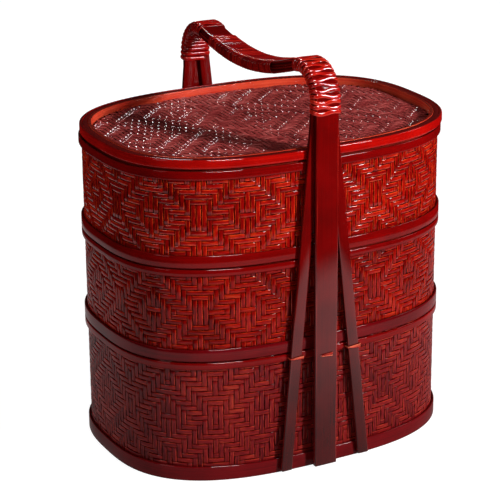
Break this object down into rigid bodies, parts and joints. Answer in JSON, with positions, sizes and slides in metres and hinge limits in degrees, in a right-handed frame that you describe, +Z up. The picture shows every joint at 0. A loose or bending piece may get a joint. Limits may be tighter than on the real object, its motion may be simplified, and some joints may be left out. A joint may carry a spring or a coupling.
{
  "type": "bamboo picnic basket",
  "caption": "Tiered woven bamboo picnic basket: a base compartment with a fixed arched handle, lift-off stacking trays and a lid with a sunk woven panel.",
  "frame": {"origin": "on the table, under the middle of the base", "axes": "+Z up, +X along the long side of the oval plan, -Y towards the front foot of the handle"},
  "size_m": [0.3413, 0.2716, 0.3876],
  "materials": {
    "foot_hoops": "bent bamboo, red gloss lacquer",
    "top_hoops": "bent bamboo, red gloss lacquer",
    "woven_splints": "twill-woven bamboo splints, red gloss lacquer over brown",
    "liners": "thin bamboo sheet, satin lacquer",
    "boards": "bamboo board, satin lacquer",
    "lid_bands": "bent bamboo, bright red gloss lacquer",
    "lid_weave": "twill-woven bamboo splints, maroon gloss lacquer",
    "handle_strips": "split bamboo, dark red gloss lacquer",
    "cane": "flat rattan cane, bright red gloss lacquer",
    "fixings": "plain bamboo"
  },
  "bodies": {
    "base_tier": {"base_foot_hoop": "foot_hoops", "base_floor_bearer": "boards", "base_floor": "boards", "base_wall_liner": "liners", "base_woven_wall": "woven_splints", "base_top_hoop": "top_hoops", "handle_centre_strip": "handle_strips", "handle_left_strip": "handle_strips", "handle_right_strip": "handle_strips", "front_corner_wrap": "cane", "grip_wrap": "cane", "rear_corner_wrap": "cane", "front_rim_spacer": "handle_strips", "front_foot_spacer": "handle_strips", "rear_rim_spacer": "handle_strips", "rear_foot_spacer": "handle_strips", "front_left_tie": "cane", "front_centre_tie": "cane", "front_right_tie": "cane", "rear_left_tie": "cane", "rear_centre_tie": "cane", "rear_right_tie": "cane", "front_left_dowel": "fixings", "front_centre_dowel": "fixings", "front_right_dowel": "fixings", "rear_left_dowel": "fixings", "rear_centre_dowel": "fixings", "rear_right_dowel": "fixings"},
    "middle_tray": {"middle_foot_hoop": "foot_hoops", "middle_floor_bearer": "boards", "middle_floor": "boards", "middle_wall_liner": "liners", "middle_woven_wall": "woven_splints", "middle_top_hoop": "top_hoops"},
    "top_tray": {"top_foot_hoop": "foot_hoops", "top_floor_bearer": "boards", "top_floor": "boards", "top_wall_liner": "liners", "top_woven_wall": "woven_splints", "top_top_hoop": "top_hoops"},
    "lid": {"lid_outer_band": "lid_bands", "lid_inner_band": "lid_bands", "lid_rim_filler": "lid_bands", "lid_woven_panel": "lid_weave", "lid_backing_board": "boards"}
  },
  "joints": [
    {"name": "middle_tray_lift", "type": "slide", "parent": "base_tier", "child": "middle_tray", "axis": [0, 0, 1], "range_m": [0, 0.008]},
    {"name": "top_tray_lift", "type": "slide", "parent": "middle_tray", "child": "top_tray", "axis": [0, 0, 1], "range_m": [0, 0.008]},
    {"name": "lid_lift", "type": "slide", "parent": "top_tray", "child": "lid", "axis": [0, 0, 1], "range_m": [0, 0.009]}
  ]
}
